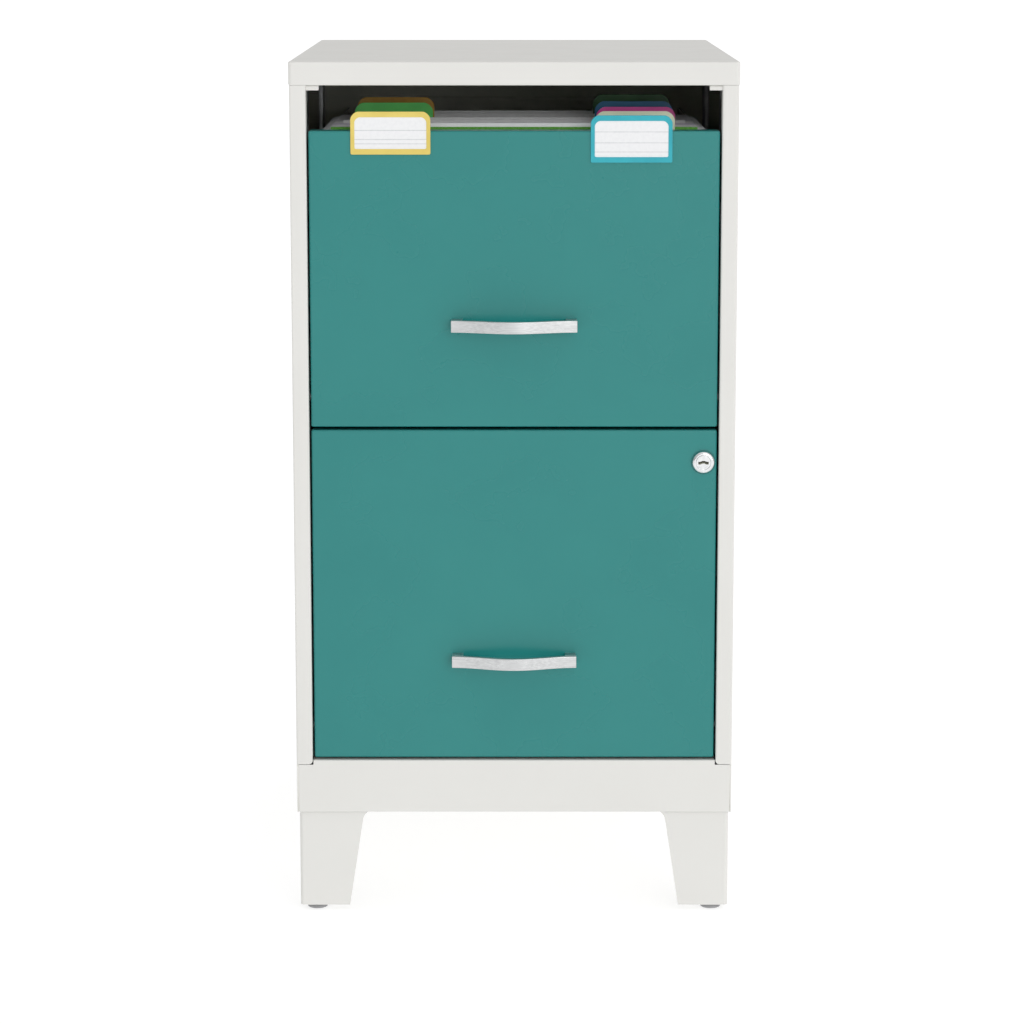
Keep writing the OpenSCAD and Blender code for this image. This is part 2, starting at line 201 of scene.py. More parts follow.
def pull(move):
    """In edit mode, extrudes what is selected by a vector."""
    bpy.ops.mesh.extrude_region_move(TRANSFORM_OT_translate={"value": move})


def apply(piece, kind, **settings):
    """Adds one modifier with its settings and applies it."""
    only(piece)
    made = piece.modifiers.new(kind.lower(), kind)
    for name, value in settings.items():
        setattr(made, name, value)
    bpy.ops.object.modifier_apply(modifier=made.name)
    return piece


def thicken(piece, sheet=SHEET, side=-1):
    """Gives a shell its sheet thickness: side -1 lays it behind the faces, 1 in front."""
    return apply(piece, "SOLIDIFY", thickness=sheet, offset=side, use_even_offset=True)


def face_out(piece):
    with editing(piece):
        pick_all()
        bpy.ops.mesh.remove_doubles(threshold=0.001 * MM)
        bpy.ops.mesh.normals_make_consistent(inside=False)
    return piece


def soften(piece, radius=0.25 * MM, segments=2, angle=50):
    """Breaks the sharp edges."""
    return apply(piece, "BEVEL", width=radius, segments=segments, limit_method="ANGLE",
                 angle_limit=math.radians(angle), use_clamp_overlap=True)


def smooth(piece, angle=35):
    """Smooths the shading round bends and keeps flat faces flat."""
    only(piece)
    bpy.ops.object.shade_smooth_by_angle(angle=math.radians(angle))
    return apply(piece, "WEIGHTED_NORMAL", keep_sharp=True)


def joined(name, *parts):
    """Several shapes as one piece."""
    only(parts[0])
    for part in parts[1:]:
        part.select_set(True)
    bpy.ops.object.join()
    bpy.context.object.name = name
    return bpy.context.object


def copy_of(piece, name):
    """A copy with its own mesh."""
    only(piece)
    bpy.ops.object.duplicate(linked=False)
    made = bpy.context.object
    made.name = name
    return made


def mirrored(piece, name, sx=-1, sy=1):
    """A copy mirrored in the planes X = 0 or Y = 0, with its faces turned out again."""
    made = copy_of(piece, name)
    made.scale = (sx, sy, 1)
    settle(made)
    if sx * sy < 0:
        with editing(made):
            pick_all()
            bpy.ops.mesh.flip_normals()
    return made


def cut(piece, tool):
    """Cuts the tool's shape out of the piece, and uses the tool up."""
    apply(piece, "BOOLEAN", operation="DIFFERENCE", object=tool, solver="EXACT")
    bpy.data.objects.remove(tool)
    return piece


def drill(piece, at, radius, depth, axis="Y"):
    """Drills a round hole centred on a point."""
    turn = {"X": (0, math.pi / 2, 0), "Y": (math.pi / 2, 0, 0), "Z": (0, 0, 0)}[axis]
    return cut(piece, primitive("cylinder", "drill", location=at, rotation=turn,
                                vertices=32, radius=radius, depth=depth))


def turned(name, profile, centre, axis, steps=40):
    """A part turned on a lathe: the profile holds (radius, distance along the axis) pairs."""
    lines = {"X": (Vector((0, 0, 1)), Vector((1, 0, 0))),
             "Y": (Vector((0, 0, 1)), Vector((0, 1, 0))),
             "Z": (Vector((1, 0, 0)), Vector((0, 0, 1)))}
    out, forth = lines[axis]
    centre = Vector(centre)
    piece = wire(name, [centre + out * radius + forth * place for radius, place in profile])
    with editing(piece):
        pick_all()
        bpy.ops.mesh.spin(steps=steps, angle=2 * math.pi, center=centre, axis=forth)
    return face_out(piece)


def arc(centre, radius, start, end, steps=4):
    """Points along an arc of a profile, angles in degrees."""
    turns = [math.radians(start + (end - start) * i / steps) for i in range(steps + 1)]
    return [(centre[0] + radius * math.cos(a), centre[1] + radius * math.sin(a)) for a in turns]


def folded(name, path, run, sheet=SHEET, side=-1, bend=BEND):
    """Sheet metal folded along a path and pulled out by the vector run, with round folds and clean edges."""
    piece = wire(name, path)
    with editing(piece):
        pick_all()
        pull(run)
        round_folds(bend)
    thicken(piece, sheet, side)
    return soften(face_out(piece), FOLD_EDGE)


def plain_part(name, node_name, radius=0.3 * MM, segments=2):
    """A part whose frame node has its full shape: a merged copy with flat faces whole and edges broken."""
    piece = copy_of(frame["nodes"][node_name], name)
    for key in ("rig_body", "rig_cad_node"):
        del piece[key]
    piece.parent = None
    settle(piece)
    with editing(piece):
        pick_all()
        bpy.ops.mesh.remove_doubles(threshold=0.002 * MM)
        bpy.ops.mesh.dissolve_limited(angle_limit=math.radians(2))
    stand_for(soften(piece, radius, segments), node_name)


def stand_for(piece, *nodes):
    """The piece takes the place, the body and the finish of these frame nodes."""
    slot = slot_of[nodes[0]]
    paint(smooth(piece), slot)
    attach(piece, frame["nodes"][nodes[0]]["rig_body"])
    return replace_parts(piece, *nodes)


def both_sides(piece, node_name):
    """Puts the right-hand piece in place, and its mirror image on the left."""
    left = mirrored(piece, piece.name.replace("right", "left", 1))
    stand_for(piece, node_name)
    stand_for(left, node_name.replace("right", "left", 1))
    return piece, left


def at_corners(piece, part):
    """Puts the front left piece in place, and its mirror images at the other three corners."""
    for corner, sx, sy in (("front_right", -1, 1), ("rear_left", 1, -1), ("rear_right", -1, -1)):
        made = mirrored(piece, piece.name.replace("front_left", corner), sx, sy)
        if sy < 0:
            made.location.y = boxes[f"{corner}_{part}"][1].y + boxes[f"front_left_{part}"][0].y
            settle(made)
        stand_for(made, f"{corner}_{part}")
    stand_for(piece, f"front_left_{part}")


# ---- Surface effects shared by several finishes ----

def node(tree, kind, inputs=None, **settings):
    """Adds a shader node, sets its properties, and sets or links its inputs. Colours are given as RGB."""
    made = tree.nodes.new("ShaderNode" + kind)
    for name, value in settings.items():
        setattr(made, name, value)
    for name, value in (inputs or {}).items():
        if isinstance(value, bpy.types.NodeSocket):
            tree.links.new(value, made.inputs[name])
        elif made.inputs[name].type == "RGBA":
            made.inputs[name].default_value = (*value, 1.0)
        else:
            made.inputs[name].default_value = value
    return made


def math_of(tree, operation, a, b, clamp=False):
    """The result of one sum on two values."""
    return node(tree, "Math", {0: a, 1: b}, operation=operation, use_clamp=clamp).outputs[0]


def blended(tree, factor, a, b):
    """Colour a turning into colour b."""
    return node(tree, "Mix", {0: factor, 6: a, 7: b}, data_type="RGBA").outputs[2]


def between(tree, value, low, high, start=0.0, end=1.0):
    """A value that runs from start to end, turned into one from low to high."""
    return node(tree, "MapRange", {0: value, 1: start, 2: end, 3: low, 4: high}).outputs[0]


def effect(name, inputs, outputs):
    """A new shader node group, with the tree and its in and out nodes."""
    tree = bpy.data.node_groups.new(name, "ShaderNodeTree")
    for label, value in inputs.items():
        kind = "NodeSocketVector" if isinstance(value, tuple) else "NodeSocketFloat"
        tree.interface.new_socket(label, in_out="INPUT", socket_type=kind).default_value = value
    for label in outputs:
        tree.interface.new_socket(label, in_out="OUTPUT", socket_type="NodeSocketFloat")
    return tree, tree.nodes.new("NodeGroupInput").outputs, tree.nodes.new("NodeGroupOutput").inputs


def noise_at(tree, scale, detail, roughness=0.5, stretch=None):
    """Noise on Object coordinates, stretched along an axis if asked."""
    place = node(tree, "TexCoord").outputs["Object"]
    if stretch is not None:
        place = node(tree, "VectorMath", {0: place, 1: stretch}, operation="MULTIPLY").outputs[0]
    return node(tree, "TexNoise", {"Vector": place, "Scale": scale, "Detail": detail,
                                   "Roughness": roughness}).outputs[0]


def orange_peel_effect():
    """Fine peel of a sprayed coat, and the slow drift of its shade."""
    tree, given, out = effect("orange_peel", {"Grain": 900.0, "Drift": 9.0}, ("Height", "Shade"))
    fine = noise_at(tree, given["Grain"], 2.0)
    coarse = noise_at(tree, given["Drift"], 4.0, 0.6)
    tree.links.new(fine, out["Height"])
    tree.links.new(coarse, out["Shade"])
    return tree


def edge_wear_and_highlight_effect():
    """Mask of the edges: partly where a coat is rubbed thin, partly a painted highlight along them."""
    tree, given, out = effect("edge_rub", {"Radius": 0.8 * MM, "Strength": 4.0}, ("Mask",))
    rounded = node(tree, "Bevel", {"Radius": given["Radius"]}, samples=4).outputs[0]
    flat = node(tree, "NewGeometry").outputs["Normal"]
    agree = node(tree, "VectorMath", {0: rounded, 1: flat}, operation="DOT_PRODUCT").outputs["Value"]
    bent = math_of(tree, "MULTIPLY", math_of(tree, "SUBTRACT", 1.0, agree), given["Strength"])
    broken = between(tree, noise_at(tree, 260.0, 4.0), 0.2, 1.0, 0.35, 0.65)
    tree.links.new(math_of(tree, "MULTIPLY", bent, broken, clamp=True), out["Mask"])
    return tree


def brushed_effect():
    """Fine parallel lines left by a grinding belt."""
    tree, given, out = effect("brushed_lines", {"Stretch": (20.0, 900.0, 900.0), "Scale": 1.0},
                              ("Lines", "Streaks"))
    fine = noise_at(tree, given["Scale"], 6.0, 0.65, given["Stretch"])
    wide = noise_at(tree, math_of(tree, "MULTIPLY", given["Scale"], 0.22), 3.0, 0.5, given["Stretch"])
    tree.links.new(fine, out["Lines"])
    tree.links.new(wide, out["Streaks"])
    return tree


def dust_effect():
    """Thin dust that settles on faces that look up."""
    tree, given, out = effect("settled_dust", {"Amount": 0.3}, ("Mask",))
    up = node(tree, "SeparateXYZ", {0: node(tree, "NewGeometry").outputs["Normal"]}).outputs["Z"]
    patchy = between(tree, noise_at(tree, 35.0, 5.0, 0.6), 0.4, 1.0, 0.3, 0.7)
    mask = math_of(tree, "MULTIPLY", between(tree, up, 0.0, 1.0, 0.5, 1.0), patchy)
    tree.links.new(math_of(tree, "MULTIPLY", mask, given["Amount"], clamp=True), out["Mask"])
    return tree


def fibre_effect():
    """Short tangled fibres of card and paper."""
    tree, given, out = effect("paper_fibre", {"Scale": 700.0}, ("Height", "Flecks"))
    long = noise_at(tree, given["Scale"], 5.0, 0.7, (1.0, 0.4, 1.0))
    across = noise_at(tree, given["Scale"], 5.0, 0.7, (0.35, 1.0, 1.4))
    tree.links.new(math_of(tree, "MULTIPLY", long, across), out["Height"])
    tree.links.new(noise_at(tree, math_of(tree, "MULTIPLY", given["Scale"], 0.3), 3.0), out["Flecks"])
    return tree


effects = {
    "peel": orange_peel_effect(),
    "rub": edge_wear_and_highlight_effect(),
    "brush": brushed_effect(),
    "dust": dust_effect(),
    "fibre": fibre_effect(),
}


def use(tree, name, **values):
    """Places a shared effect in a material, with this material's values."""
    made = tree.nodes.new("ShaderNodeGroup")
    made.node_tree = effects[name]
    for label, value in values.items():
        made.inputs[label].default_value = value
    return made.outputs


finishes = {}


def finish(name, **constants):
    """A new finish: its material, its tree and its Principled shader, with the shader's constants set."""
    made = bpy.data.materials.new(name)
    made.use_nodes = True
    shader = made.node_tree.nodes["Principled BSDF"]
    for label, value in constants.items():
        shader.inputs[label.replace("_", " ")].default_value = value
    finishes[name] = made
    return made.node_tree, shader


def complete(tree, shader, tone, rough, height, strength, distance):
    """Links a finish's colour, roughness and bump to its shader."""
    made = node(tree, "Bump", {"Height": height, "Strength": strength, "Distance": distance})
    tree.links.new(tone, shader.inputs["Base Color"])
    tree.links.new(rough, shader.inputs["Roughness"])
    tree.links.new(made.outputs["Normal"], shader.inputs["Normal"])


# ---- Finishes ----

def coat(name, base, deep, wear_and_highlight_tone, gloss, peel=0.05, dust=0.2):
    """Powder coat: a base colour that drifts towards a deeper one, paler along the edges, partly rubbed wear
    and partly a painted highlight.
    """
    tree, shader = finish(name)
    peel_out = use(tree, "peel", Grain=900.0)
    rub = use(tree, "rub")["Mask"]
    dusty = use(tree, "dust", Amount=dust)["Mask"]
    body = blended(tree, between(tree, peel_out["Shade"], 0.0, 1.0, 0.35, 0.65), base, deep)
    with_edge_wear_and_highlight = blended(tree, rub, body, wear_and_highlight_tone)
    dulled = blended(tree, dusty, with_edge_wear_and_highlight, (0.62, 0.61, 0.58))
    sheen = between(tree, peel_out["Shade"], gloss - 0.03, gloss + 0.03, 0.3, 0.7)
    rough = math_of(tree, "ADD", sheen, math_of(tree, "MULTIPLY", dusty, 0.3))
    complete(tree, shader, dulled, rough, peel_out["Height"], peel, 0.2 * MM)


def zinc():
    """Bright zinc plate: crystal flecks under fine rolling lines."""
    tree, shader = finish("zinc_steel", Metallic=1.0)
    place = node(tree, "TexCoord").outputs["Object"]
    flecks = node(tree, "TexVoronoi", {"Vector": place, "Scale": 160.0}).outputs["Color"]
    fleck = node(tree, "SeparateColor", {0: flecks}).outputs[0]
    lines = use(tree, "brush", Stretch=(700.0, 12.0, 700.0))
    tone = blended(tree, between(tree, fleck, 0.0, 0.5), (0.5, 0.51, 0.53), (0.68, 0.69, 0.7))
    rough = between(tree, lines["Streaks"], 0.28, 0.46, 0.3, 0.7)
    complete(tree, shader, tone, rough, lines["Lines"], 0.08, 0.1 * MM)


def brushed_metal(name, base, dark, stretch, gloss):
    """Ground metal: streaks along the belt's way, brighter along the edges, partly from rubbed wear and
    partly as a painted highlight.
    """
    tree, shader = finish(name, Metallic=1.0, Anisotropic=0.4)
    lines = use(tree, "brush", Stretch=stretch)
    rub = use(tree, "rub", Radius=0.5 * MM)["Mask"]
    tone = blended(tree, between(tree, lines["Lines"], 0.0, 1.0, 0.35, 0.65), dark, base)
    bright = blended(tree, rub, tone, (0.93, 0.93, 0.92))
    rough = between(tree, lines["Streaks"], gloss - 0.06, gloss + 0.08, 0.3, 0.7)
    complete(tree, shader, bright, rough, lines["Lines"], 0.05, 0.05 * MM)


def moulded(name, base, deep, gloss=0.35):
    """Moulded plastic: faint flow marks, a fine etched skin and paler edges, partly handling wear and partly
    a painted highlight.
    """
    tree, shader = finish(name)
    skin = use(tree, "peel", Grain=1500.0, Drift=40.0)
    rub = use(tree, "rub", Radius=0.4 * MM, Strength=2.0)["Mask"]
    flow = blended(tree, between(tree, skin["Shade"], 0.0, 1.0, 0.35, 0.65), base, deep)
    pale = tuple(min(1.0, channel * 0.7 + 0.25) for channel in base)
    tone = blended(tree, math_of(tree, "MULTIPLY", rub, 0.5), flow, pale)
    rough = between(tree, skin["Shade"], gloss - 0.05, gloss + 0.08, 0.3, 0.7)
    complete(tree, shader, tone, rough, skin["Height"], 0.06, 0.1 * MM)


def folder_card():
    """Heavy card: the front folder green, the others pale grey to lilac."""
    tree, shader = finish("folder_card")
    fibre = use(tree, "fibre", Scale=1500.0)
    low, high = boxes["hanging_folders"]
    depth = node(tree, "SeparateXYZ", {0: node(tree, "TexCoord").outputs["Object"]}).outputs["Y"]
    share = between(tree, depth, 0.0, 1.0, low.y, high.y)
    ramp = node(tree, "ValToRGB", {0: share})
    ramp.color_ramp.interpolation = "CONSTANT"
    tints = {0: (0.085, 0.34, 0.02), 1: (0.66, 0.64, 0.7), 2: (0.7, 0.7, 0.72), 3: (0.58, 0.56, 0.64),
             5: (0.72, 0.72, 0.74), 7: (0.6, 0.6, 0.66), 9: (0.68, 0.67, 0.72)}
    stops = ramp.color_ramp.elements
    stops[0].color = (*tints[0], 1.0)
    stops.remove(stops[1])
    for number, tint in list(tints.items())[1:]:
        stops.new((number - 0.5) * FOLDER_PITCH / (high.y - low.y) + 0.01).color = (*tint, 1.0)
    flecks = between(tree, fibre["Flecks"], 0.0, 0.1, 0.4, 0.7)
    tone = blended(tree, flecks, ramp.outputs[0], (0.8, 0.79, 0.76))
    complete(tree, shader, tone, between(tree, fibre["Height"], 0.7, 0.9), fibre["Height"], 0.12, 0.1 * MM)


def paper(name, base, deep):
    """Uncoated paper with faint fibre flecks."""
    tree, shader = finish(name)
    fibre = use(tree, "fibre", Scale=1200.0)
    tone = blended(tree, between(tree, fibre["Flecks"], 0.0, 1.0, 0.4, 0.7), base, deep)
    complete(tree, shader, tone, between(tree, fibre["Height"], 0.6, 0.8), fibre["Height"], 0.12, 0.1 * MM)


# The third colour of each coat is its edge tone: partly rubbed wear and partly a painted highlight along the
# edges.
coat("white_paint", (0.76, 0.753, 0.724), (0.745, 0.738, 0.709), (0.86, 0.86, 0.84), 0.42)
# A darker copy of the white coat for the parts inside the body: painted shade of the cavity.
coat("inner_paint", (0.5, 0.495, 0.47), (0.46, 0.455, 0.43), (0.6, 0.6, 0.57), 0.5)
# A separate, warmer and duller copy of the white coat for the faces inside the body: painted cavity shade,
# standing for how the inside looks in shade, not a paint of its own.
coat("cavity_paint", (0.8, 0.8, 0.72), (0.76, 0.76, 0.68), (0.84, 0.84, 0.8), 0.6)
coat("teal_paint", (0.014, 0.226, 0.212), (0.011, 0.213, 0.202), (0.06, 0.33, 0.33), 0.27, 0.03, 0.04)
zinc()
brushed_metal("handle_metal", (0.68, 0.69, 0.69), (0.54, 0.545, 0.55), (9.0, 1000.0, 1000.0), 0.3)
brushed_metal("lock_metal", (0.82, 0.83, 0.84), (0.7, 0.71, 0.72), (300.0, 300.0, 300.0), 0.24)
moulded("roller_nylon", (0.74, 0.74, 0.7), (0.66, 0.66, 0.61))
moulded("glide_plastic", (0.36, 0.36, 0.37), (0.3, 0.3, 0.31), 0.5)
moulded("yellow_plastic", (0.78, 0.62, 0.15), (0.71, 0.55, 0.12))
moulded("cyan_plastic", (0.02, 0.43, 0.51), (0.015, 0.37, 0.45))
moulded("cream_tab_plastic", (0.78, 0.79, 0.6), (0.72, 0.73, 0.54))
moulded("magenta_tab_plastic", (0.72, 0.06, 0.36), (0.64, 0.05, 0.3))
moulded("green_tab_plastic", (0.12, 0.7, 0.14), (0.1, 0.62, 0.12))
moulded("blue_tab_plastic", (0.01, 0.18, 0.38), (0.008, 0.15, 0.33))
moulded("orange_tab_plastic", (0.66, 0.36, 0.03), (0.58, 0.3, 0.025))
moulded("dark_green_tab_plastic", (0.02, 0.16, 0.03), (0.016, 0.13, 0.025))
folder_card()
paper("card_paper", (0.85, 0.855, 0.865), (0.81, 0.815, 0.83))
paper("ruled_ink", (0.56, 0.57, 0.59), (0.5, 0.51, 0.53))


def paint(piece, slot):
    piece.data.materials.clear()
    piece.data.materials.append(finishes[slot])
    return piece


def paint_cavity_shade(piece, test):
    """Gives the faces that pass the test the painted cavity shade: a warmer, duller copy of the white coat,
    standing for how the inside of the body looks in shade.
    """
    piece.data.materials.append(finishes["cavity_paint"])
    for face in piece.data.polygons:
        if test(face.center, face.normal):
            face.material_index = 1
    return piece


# ---- Cabinet ----

def top_cap():
    """Pan with round corners, a tight top fold and a lip turned in below."""
    low, high = boxes["top_cap"]
    corner = 3 * MM
    lip = 11 * MM
    cap = block("cap_shell", low, high)
    with editing(cap):
        pick("FACE", lambda middle, way: way.z < -0.9)
        bpy.ops.mesh.inset(thickness=lip, depth=0)
        bpy.ops.mesh.delete(type="FACE")
        pick("EDGE", lambda middle, way: along(way, 2))
        bpy.ops.mesh.bevel(offset=corner, segments=6, affect="EDGES")
        round_folds(1.3 * MM, 60)
    thicken(cap)
    soften(face_out(cap), FOLD_EDGE)
    stand_for(cap, "top_cap")
    # The cap's inward faces get the painted cavity shade.
    return paint_cavity_shade(cap, lambda centre, normal: normal.z < -0.5 and centre.z > low.z + 2 * SHEET)


def side_panels():
    """One skin with its front post, the post's return and the rear flange, notched above the plinth."""
    notch = 5.7 * MM
    rear_x = boxes["right_side_panel"][1].x - 16 * MM
    plan = [(rear_x, BACK_Y), (HALF_W, BACK_Y), (HALF_W, FRONT_Y), (POST_X, FRONT_Y),
            (POST_X, FRONT_Y + POST_RETURN)]
    panel = wire("right_side_shell", [(x, y, BASE_Z) for x, y in plan])
    with editing(panel):
        pick_all()
        for start, end in zip((BASE_Z, SEAM_Z, SEAM_Z + notch), (SEAM_Z, SEAM_Z + notch, BODY_TOP_Z)):
            pull((0, 0, end - start))
        pick("FACE", lambda middle, way: middle.x < HALF_W - MM and middle.y < 0 and (
            middle.z < SEAM_Z or near(middle.x, POST_X) and middle.z < SEAM_Z + notch))
        bpy.ops.mesh.delete(type="FACE")
        pick("VERT", lambda middle, way: (middle - Vector((POST_X, FRONT_Y, SEAM_Z))).length < 0.1 * MM)
        bpy.ops.mesh.bevel(offset=3.2 * MM, segments=4, affect="VERTICES")
        round_folds()
    thicken(panel, SHEET, 1)
    soften(face_out(panel), FOLD_EDGE)
    # The panels' inward faces get the painted cavity shade.
    for piece, sign in zip(both_sides(panel, "right_side_panel"), (1, -1)):
        paint_cavity_shade(piece, lambda centre, normal: normal.x * sign < -0.5 and
                    centre.x * sign > HALF_W - 2 * SHEET)


def pressed_panel(name, low, high, margins, press, outward, sheet=SHEET):
    """Flat sheet across X and Z, its middle pressed back. Outward is the sign of its seen face along Y."""
    y = high.y if outward > 0 else low.y
    turn = (math.pi / 2, 0, math.pi if outward > 0 else 0)
    panel = primitive("plane", name, location=((low.x + high.x) / 2, y, (low.z + high.z) / 2),
                      rotation=turn, scale=(high.x - low.x, high.z - low.z, 1), size=1)
    left, below, above = margins
    cuts = [((low.x + left, 0, 0), (1, 0, 0)), ((high.x - left, 0, 0), (1, 0, 0)),
            ((0, 0, low.z + below), (0, 0, 1)), ((0, 0, high.z - above), (0, 0, 1))]
    with editing(panel):
        for place, way in cuts:
            slice_at(place, way)
        pick("FACE", lambda middle, way: abs(middle.x) < high.x - left and
             low.z + below < middle.z < high.z - above)
        bpy.ops.mesh.inset(thickness=abs(press) * 1.2, depth=-press)
        round_folds(1.2 * MM, 15, 2)
    thicken(panel, sheet)
    return soften(panel, FOLD_EDGE)


def back_panel():
    low, high = boxes["back_panel"]
    panel = pressed_panel("back_sheet", low, high, (34 * MM, 30 * MM, 34 * MM), 2 * MM, 1)
    stand_for(panel, "back_panel")
    # The back's inward faces get the painted cavity shade.
    paint_cavity_shade(panel, lambda centre, normal: normal.y < -0.3)


def front_plinth():
    """Face with a raised ledge between the posts, a lip turned back below and its ends folded in."""
    high = boxes["front_plinth"][1]
    ledge_x = POST_X - 0.6 * MM
    lip = 8 * MM
    fold_in = 6 * MM
    end_x = HALF_W - SHEET - 0.03 * MM
    top_z = SEAM_Z - 0.4 * MM
    plinth = wire("plinth_shell", [(-end_x, FRONT_Y, BASE_Z), (-ledge_x, FRONT_Y, BASE_Z),
                                   (ledge_x, FRONT_Y, BASE_Z), (end_x, FRONT_Y, BASE_Z)])
    with editing(plinth):
        pick_all()
        pull((0, 0, top_z - BASE_Z))
        pick("EDGE", lambda middle, way: near(middle.z, top_z) and abs(middle.x) < MM)
        pull((0, 0, high.z - top_z))
        pull((0, high.y - FRONT_Y, 0))
        pick("EDGE", lambda middle, way: near(middle.z, BASE_Z))
        pull((0, lip, 0))
        for x in (-end_x, end_x):
            pick("EDGE", lambda middle, way: near(middle.x, x) and along(way, 2))
            pull((0, fold_in, 0))
        pick_all()
        bpy.ops.mesh.normals_make_consistent(inside=False)
        round_folds(0.9 * MM)
    thicken(plinth, SHEET)
    soften(face_out(plinth), FOLD_EDGE)
    stand_for(plinth, "front_plinth")


def front_gussets():
    """Small angles that tie each post to the cap."""
    low, high = boxes["front_gussets"]
    width = 10.4 * MM
    drop = 4 * MM
    x = POST_X - width
    path = [(x, low.y, high.z - drop), (x, low.y, high.z), (x, high.y, high.z)]
    right = folded("right_gusset", path, (width, 0, 0), side=1)
    left = mirrored(right, "left_gusset")
    stand_for(joined("front_gusset_pair", right, left), "front_gussets")


def uprights():
    """Channels that carry the rails, with a row of slots punched down each."""
    low, high = boxes["right_uprights"]
    width = 30 * MM
    slot_pitch = 32 * MM
    channels = []
    for y in (low.y, high.y - width):
        path = [(high.x, y, low.z), (low.x, y, low.z), (low.x, y + width, low.z), (high.x, y + width, low.z)]
        channel = folded("right_channel", path, (0, 0, high.z - low.z), side=1, bend=1.3 * MM)
        punches = [block("punch", (low.x - MM, y + 12 * MM, z), (low.x + 3 * MM, y + 18 * MM, z + 12 * MM))
                   for z in rows(low.z + 20 * MM, high.z - 20 * MM, slot_pitch)]
        channels.append(cut(channel, joined("punches", *punches)))
    both_sides(joined("right_channels", *channels), "right_uprights")


def rows(start, end, pitch):
    """Evenly spaced places from start to end, about a pitch apart."""
    count = max(1, round((end - start) / pitch))
    return [start + (end - start) * i / count for i in range(count + 1)]


# ---- Base ----

LEG_TOP_W = 54 * MM
LEG_FOOT_W = 41.5 * MM
LEG_FLARE = 3.5 * MM        # how far the leg's inner edges sweep out just under the plinth
FOOT_PLATE = 27 * MM
TOP_FLANGE = 40 * MM
BOLT_PLACES = ((14 * MM, 31 * MM), (31 * MM, 14 * MM))
GLIDE_IN = 13.6 * MM


def legs():
    """Pressed angle with a tapered wing each way, a foot plate and a bolted flange on top."""
    low, high = boxes["front_left_leg"]
    x, y = low.x, low.y
    shell = block("front_left_shell", low, high)
    slant = Vector((high.z - low.z, 0, -(LEG_TOP_W - LEG_FOOT_W)))
    across = Vector((0, slant.x, slant.z))
    with editing(shell):
        for foot, way in (((x + LEG_FOOT_W, y, low.z), slant), ((x, y + LEG_FOOT_W, low.z), across)):
            slice_at(foot, way, clear_outer=True)
        pick("FACE", lambda middle, way: way.z ** 2 > 0.5)
        bpy.ops.mesh.delete(type="FACE")
        slice_at((x, y, high.z - LEG_FLARE), (0, 0, 1))
        for axis, sweep in ((0, (LEG_FLARE, 0, 0)), (1, (0, LEG_FLARE, 0))):
            edge = (x, y)[axis] + LEG_FOOT_W
            pick("VERT", lambda middle, way: near(middle.z, high.z) and middle[axis] > edge)
            bpy.ops.transform.translate(value=sweep)
            pick("VERT", lambda middle, way: near(middle.z, high.z - LEG_FLARE) and middle[axis] > edge)
            bpy.ops.mesh.bevel(offset=0.9 * LEG_FLARE, segments=4, affect="VERTICES")
        pick("EDGE", lambda middle, way: near(middle.x, x) and near(middle.y, y) and along(way, 2))
        bpy.ops.mesh.bevel(offset=3 * MM, segments=5, affect="EDGES")
    thicken(shell, LEG_SHEET)
    soften(face_out(shell), 0.5 * MM, 3)
    flange = block("flange", (x + 0.5 * MM, y + 0.5 * MM, high.z - LEG_SHEET),
                   (x + TOP_FLANGE, y + TOP_FLANGE, high.z))
    plate = block("plate", (x + 0.8 * MM, y + 0.8 * MM, low.z + 0.2 * MM),
                  (x + FOOT_PLATE, y + FOOT_PLATE, low.z + 2.5 * MM))
    for place in BOLT_PLACES:
        drill(flange, (x + place[0], y + place[1], high.z), 3.2 * MM, 10 * MM, "Z")
    drill(plate, (x + GLIDE_IN, y + GLIDE_IN, low.z), 4.05 * MM, 10 * MM, "Z")
    at_corners(joined("front_left_leg_shell", shell, soften(flange), soften(plate)), "leg")


def glides():
    """Levelling feet: a pad with rounded edges and a threaded stem."""
    low, high = boxes["front_left_glide"]
    centre = ((low.x + high.x) / 2, (low.y + high.y) / 2, 0)
    pad_r = (high.x - low.x) / 2
    pad_h = boxes["front_left_leg"][0].z - 0.3 * MM
    pitch = 1.25 * MM
    profile = [(0, 0)] + arc((pad_r - 1.2 * MM, 1.2 * MM), 1.2 * MM, -90, 0) + [
        (pad_r, pad_h - 3 * MM), (pad_r - 0.4 * MM, pad_h - 2.6 * MM), (pad_r - 2.2 * MM, pad_h),
        (3.6 * MM, pad_h)]
    thread_top = high.z - 0.8 * MM
    turns = round((thread_top - pad_h - 3 * MM) / pitch)
    for i in range(turns):
        z = pad_h + 3 * MM + i * pitch
        profile += [(3.4 * MM, z), (3.95 * MM, z + 0.5 * pitch)]
    profile += [(3.4 * MM, thread_top), (3.0 * MM, high.z), (0, high.z)]
    at_corners(turned("front_left_glide_foot", profile, centre, "Z", 32), "glide")


# ---- Slides ----

ROLLER_R = 9 * MM
AXLE_R = 2.5 * MM
PIN_R = AXLE_R - 0.02 * MM  # the axle's running surface, inside the roller's bore
COLLAR_R = 4 * MM


